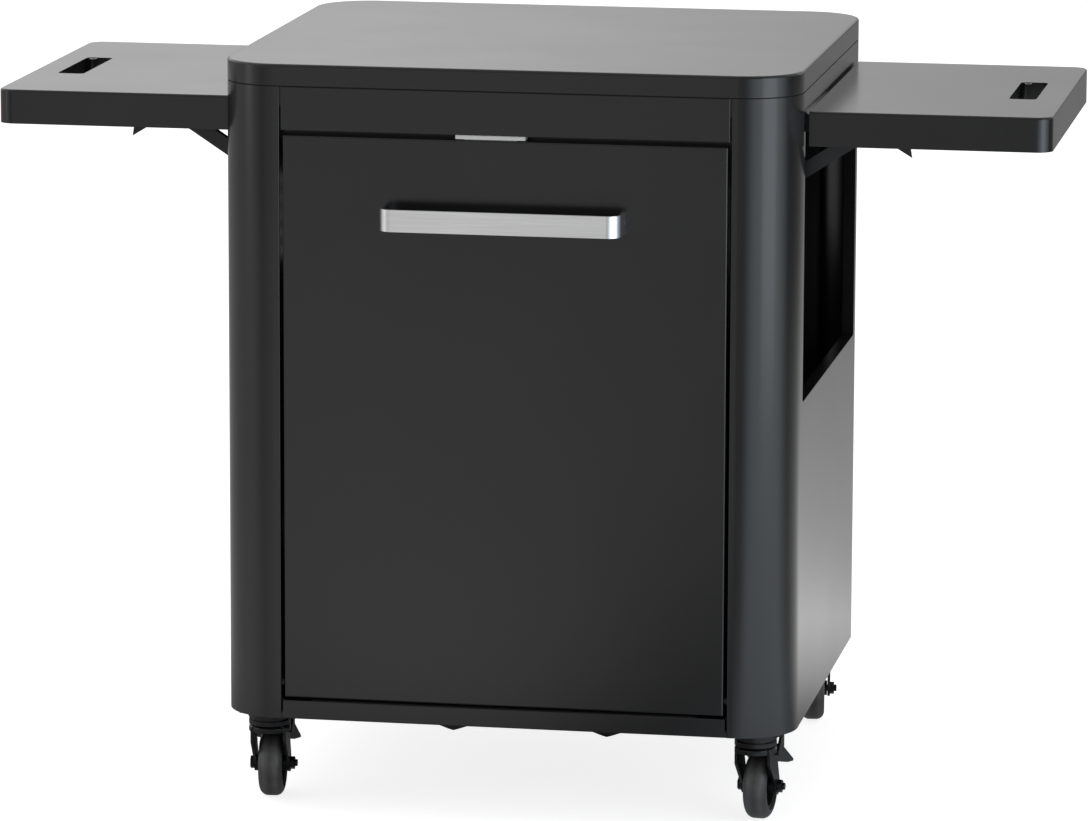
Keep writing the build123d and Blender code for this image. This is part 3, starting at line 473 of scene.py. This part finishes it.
def well_ridges():
    """Two shallow V ridges pressed out of the underside of the bottle well."""
    bead_depth, end_inset, ridge_x = 0.007, 0.0118, 0.090
    well_low, well_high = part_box("bottle_well")
    well_foot = well_low[2] + bead_depth
    front, back = well_low[1] + end_inset, well_high[1] - end_inset
    across = [(-0.050, 0.0005), (-0.006, -0.0150), (0.0, -0.0167), (0.006, -0.0150), (0.050, 0.0005)]
    verts, faces = [], []
    for middle in (-ridge_x, ridge_x):
        first = len(verts)
        for y in (front, back):
            verts += [(middle + x, y, well_foot + z) for x, z in across]
        n = len(across)
        faces.append([first + i for i in range(n)])
        faces.append([first + n + i for i in reversed(range(n))])
        for i in range(n):
            j = (i + 1) % n
            faces.append([first + j, first + i, first + n + i, first + n + j])
    mesh = bpy.data.meshes.new("well_ridges")
    mesh.from_pydata(verts, [], faces)
    mesh.materials.append(finishes["black_coat"])
    ridges = bpy.data.objects.new("well_ridges", mesh)
    bpy.context.scene.collection.objects.link(ridges)
    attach(ridges, "cabinet")


well_ridges()


strip_sides = [(3, 2, 1, 0), (4, 5, 6, 7), (0, 1, 5, 4), (1, 2, 6, 5), (2, 3, 7, 6), (3, 0, 4, 7)]


def shade_strips(name, strips):
    """Plain strips of dull dark rubber on the cabinet, painted shade in gaps, each given by two opposite
    corners.
    """
    verts, faces = [], []
    for low, high in strips:
        first = len(verts)
        verts += [(x, y, z) for z in (low[2], high[2]) for x, y in
                  ((low[0], low[1]), (high[0], low[1]), (high[0], high[1]), (low[0], high[1]))]
        faces += [[first + i for i in side] for side in strip_sides]
    mesh = bpy.data.meshes.new(name)
    mesh.from_pydata(verts, [], faces)
    mesh.materials.append(finishes["shade_strip_rubber"])
    strip = bpy.data.objects.new(name, mesh)
    bpy.context.scene.collection.objects.link(strip)
    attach(strip, "cabinet")


# Along the top of the bottom rail, under the door: a dark strip of painted shade in the gap
rail_low, rail_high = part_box("bottom_rail")
rail_shade_half, rail_shade_front, rail_shade_deep = 0.22, rail_low[1] + 0.002, 0.022
rail_shade_sink, rail_shade_thick = 0.0002, 0.0007
shade_strips("rail_gap_shade", [((-rail_shade_half, rail_shade_front, rail_high[2] - rail_shade_sink),
                               (rail_shade_half, rail_shade_front + rail_shade_deep, rail_high[2] + rail_shade_thick))])

# At both ends of the fascia, painted shade in the end gaps: an upright dark seal behind its face, so that
# nothing shows through the end gaps, and a thin dark liner on the side panel's edge in the gap, so that the
# gap reads dark
fascia_low, fascia_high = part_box("front_fascia")
shade_seal_y = (fascia_low[1] + 0.0014, fascia_low[1] + 0.0085)
shade_seal_z = (fascia_low[2] + 0.0134, collar_foot + 0.0001)
shade_seal_x = (fascia_high[0] - 0.0090, fascia_high[0] - 0.0014)
shade_liner_y = (fascia_low[1] + 0.0004, fascia_low[1] + 0.0082)
shade_liner_z = (fascia_low[2] + 0.0122, fascia_high[2] - 0.0002)
shade_liner_x = (fascia_high[0] - 0.0004, fascia_high[0] + 0.00005)
fascia_shade_strips = []
for xs, ys, zs in ((shade_seal_x, shade_seal_y, shade_seal_z), (shade_liner_x, shade_liner_y, shade_liner_z)):
    for x0, x1 in ((-xs[1], -xs[0]), xs):
        fascia_shade_strips.append(((x0, ys[0], zs[0]), (x1, ys[1], zs[1])))
shade_strips("fascia_gap_shades", fascia_shade_strips)


# ---------------------------------------------------------------- studio

plain = (1.0, 1.0, 1.0)
bluish = (0.84, 0.92, 1.0)
floor_peak = 2.6
# Painted shadow of the object in that glow: share of that peak close to the object, and the distances between
# which it rises
shade_share, shade_near, shade_far = 0.22, 0.45, 0.95
# Distances between which the glow goes over from near to far
glow_near, glow_far = 1.1, 4.4
# What the camera sees added to the floor, so that it comes out white
floor_lift = 0.82
# Painted reflections of studio lights and shade on the floor, as gloss alone sees it: angle from the front
# towards the right, brightness of the floor near the object and far from it, tint
floor_glow = [
    (-90, 0.56, 0.56, plain), (-72, 0.70, 0.70, plain), (-56, 0.82, 0.80, plain), (-46, 0.72, 0.60, plain),
    (-38, 0.56, 0.36, plain), (-28, 0.70, 0.50, plain), (-14, 0.92, 0.74, plain), (-7, 0.86, 0.68, plain),
    (-2, 0.70, 0.54, plain), (4, 0.30, 0.34, plain), (9, 0.24, 0.36, plain), (15, 0.60, 0.76, bluish),
    (23, 1.38, 1.6, bluish), (31, 1.50, 2.0, bluish), (76, 1.50, 2.0, bluish), (87, 0.80, 1.1, bluish),
    (97, 0.50, 0.20, plain), (113, 0.90, 0.15, plain), (140, 1.30, 0.22, plain), (150, 1.12, 0.30, plain),
    (160, 0.64, 0.29, plain), (172, 0.60, 0.30, plain),
    (182, 0.66, 0.42, plain), (200, 0.66, 0.42, plain), (225, 0.50, 0.35, plain), (250, 0.50, 0.50, plain),
    (270, 0.56, 0.56, plain),
]
# Brightness of the room by height, from level to straight up
wall_glow = [(0.0, 0.25), (0.08, 0.30), (0.115, 0.60), (0.13, 0.80), (0.15, 1.0), (0.19, 0.86), (0.28, 0.77),
             (1.0, 0.77)]


def floor_sheet():
    """Plain pale floor that keeps the shadow; to gloss alone it glows with painted reflections of studio
    lights and painted shade round the object.
    """
    half = 22.0
    mesh = bpy.data.meshes.new("studio_floor")
    mesh.from_pydata([(-half, -half, 0), (half, -half, 0), (half, half, 0), (-half, half, 0)],
                     [], [(0, 1, 2, 3)])
    floor = bpy.data.objects.new("studio_floor", mesh)
    bpy.context.scene.collection.objects.link(floor)
    mat, tree, shader, where = blank_finish("studio_floor")
    speck = noise(tree, where, 30.0, 3.0)
    tree.links.new(two_tone(tree, speck, (0.545, 0.545, 0.545), (0.555, 0.555, 0.555)),
                   shader.inputs["Base Color"])
    shader.inputs["Roughness"].default_value = 0.9
    shader.inputs["Specular IOR Level"].default_value = 0.0
    path = tree.nodes.new("ShaderNodeLightPath")
    lift = tree.nodes.new("ShaderNodeMath")
    lift.operation = "MULTIPLY"
    lift.inputs[1].default_value = floor_lift
    tree.links.new(path.outputs["Is Camera Ray"], lift.inputs[0])
    shader.inputs["Emission Color"].default_value = (1.0, 1.0, 1.0, 1.0)
    tree.links.new(lift.outputs[0], shader.inputs["Emission Strength"])
    round_about = tree.nodes.new("ShaderNodeTexGradient")
    round_about.gradient_type = "RADIAL"
    tree.links.new(where, round_about.inputs["Vector"])
    far = tree.nodes.new("ShaderNodeVectorMath")
    far.operation = "LENGTH"
    tree.links.new(where, far.inputs[0])
    blend = tree.nodes.new("ShaderNodeMix")
    blend.data_type = "RGBA"
    tree.links.new(spread(tree, far.outputs["Value"], 0.0, 1.0, glow_near, glow_far), blend.inputs["Factor"])
    for choice, side in ((1, "A"), (2, "B")):
        ring = tree.nodes.new("ShaderNodeValToRGB")
        stops = ring.color_ramp.elements
        while len(stops) < len(floor_glow):
            stops.new(0.5)
        for stop, row in zip(stops, floor_glow):
            stop.position = row[0] / 360.0 + 0.25
            stop.color = (*(row[choice] / floor_peak * c for c in row[3]), 1.0)
        tree.links.new(round_about.outputs["Fac"], ring.inputs["Fac"])
        socket = [i for i in blend.inputs if i.name == side and i.type == "RGBA"][0]
        tree.links.new(ring.outputs["Color"], socket)
    # Glossy rays see the floor glowing: painted reflection of studio lights, dimmed near the object as
    # painted shadow
    sheen = tree.nodes.new("ShaderNodeEmission")
    shaded = spread(tree, far.outputs["Value"], shade_share * floor_peak, floor_peak, shade_near, shade_far)
    tree.links.new(shaded, sheen.inputs["Strength"])
    tree.links.new([o for o in blend.outputs if o.type == "RGBA"][0], sheen.inputs["Color"])
    pick = tree.nodes.new("ShaderNodeMixShader")
    tree.links.new(path.outputs["Is Glossy Ray"], pick.inputs["Fac"])
    tree.links.new(shader.outputs["BSDF"], pick.inputs[1])
    tree.links.new(sheen.outputs["Emission"], pick.inputs[2])
    tree.links.new(pick.outputs["Shader"], tree.nodes["Material Output"].inputs["Surface"])
    floor.data.materials.append(mat)


def white_room():
    """White room, darker on the camera's side, brighter to the left, dimmer at the foot of the walls."""
    world = bpy.data.worlds.new("white_room")
    bpy.context.scene.world = world
    world.use_nodes = True
    tree = world.node_tree
    back = tree.nodes["Background"]
    way = tree.nodes.new("ShaderNodeTexCoord")
    split = tree.nodes.new("ShaderNodeSeparateXYZ")
    tree.links.new(way.outputs["Generated"], split.inputs["Vector"])
    fit = tree.nodes.new("ShaderNodeMapRange")
    fit.interpolation_type = "SMOOTHSTEP"
    fit.inputs["From Min"].default_value = -0.75
    fit.inputs["From Max"].default_value = 0.35
    fit.inputs["To Min"].default_value = 0.50
    fit.inputs["To Max"].default_value = 1.0
    tree.links.new(split.outputs["Y"], fit.inputs["Value"])
    fall = tree.nodes.new("ShaderNodeMapRange")
    fall.interpolation_type = "SMOOTHSTEP"
    fall.inputs["From Min"].default_value = -0.21
    fall.inputs["From Max"].default_value = -0.08
    fall.inputs["To Min"].default_value = 1.39
    fall.inputs["To Max"].default_value = 0.93
    tree.links.new(split.outputs["X"], fall.inputs["Value"])
    level = tree.nodes.new("ShaderNodeMath")
    level.operation = "MULTIPLY"
    tree.links.new(fit.outputs["Result"], level.inputs[0])
    tree.links.new(fall.outputs["Result"], level.inputs[1])
    rise = tree.nodes.new("ShaderNodeValToRGB")
    stops = rise.color_ramp.elements
    while len(stops) < len(wall_glow):
        stops.new(0.5)
    for stop, (height, glow) in zip(stops, wall_glow):
        stop.position = height
        stop.color = (glow, glow, glow, 1.0)
    tree.links.new(split.outputs["Z"], rise.inputs["Fac"])
    room = tree.nodes.new("ShaderNodeMath")
    room.operation = "MULTIPLY"
    tree.links.new(level.outputs[0], room.inputs[0])
    tree.links.new(rise.outputs["Color"], room.inputs[1])
    seen = tree.nodes.new("ShaderNodeLightPath")
    bare = tree.nodes.new("ShaderNodeMix")
    bare.inputs["B"].default_value = 1.0
    tree.links.new(seen.outputs["Is Camera Ray"], bare.inputs["Factor"])
    tree.links.new(room.outputs[0], bare.inputs["A"])
    tree.links.new(bare.outputs["Result"], back.inputs["Strength"])
    back.inputs["Color"].default_value = (1.0, 1.0, 1.0, 1.0)


def softbox(name, spot, aim, wide, tall, watts, colour):
    """A soft rectangular lamp turned towards a spot on the object."""
    lamp = bpy.data.lights.new(name, "AREA")
    lamp.shape = "RECTANGLE"
    lamp.size = wide
    lamp.size_y = tall
    lamp.energy = watts
    lamp.color = colour
    box = bpy.data.objects.new(name, lamp)
    bpy.context.scene.collection.objects.link(box)
    box.location = spot
    box.rotation_euler = (Vector(aim) - Vector(spot)).to_track_quat("-Z", "Y").to_euler()


def photo_camera():
    """Camera at the photograph's place, turn and field of view."""
    place, lens, film_width = (1.2408, -7.0492, 1.7656), 206.9653, 36.0
    yaw, pitch, roll = (math.radians(a) for a in (10.0368, 10.6559, 0.1976))
    ahead = Vector((-math.sin(yaw) * math.cos(pitch), math.cos(yaw) * math.cos(pitch), -math.sin(pitch)))
    right = Vector((math.cos(yaw), math.sin(yaw), 0.0))
    up = right.cross(ahead)
    right2 = math.cos(roll) * right + math.sin(roll) * up
    up2 = math.cos(roll) * up - math.sin(roll) * right
    data = bpy.data.cameras.new("photo_camera")
    data.sensor_fit = "HORIZONTAL"
    data.sensor_width = film_width
    data.lens = lens
    data.clip_end = 100.0
    cam = bpy.data.objects.new("photo_camera", data)
    bpy.context.scene.collection.objects.link(cam)
    turn = Matrix((right2, up2, -ahead)).transposed().to_4x4()
    cam.matrix_world = Matrix.Translation(place) @ turn
    bpy.context.scene.camera = cam


floor_sheet()
white_room()
softbox("right_softbox", (2.1, -1.5, 0.9), (0.2, -0.2, 0.5), 1.2, 1.6, 9.0, bluish)
softbox("left_softbox", (-3.2, -1.6, 1.4), (0.0, 0.0, 0.5), 0.9, 2.2, 5.0, plain)
photo_camera()
bpy.context.scene.view_settings.view_transform = "Standard"
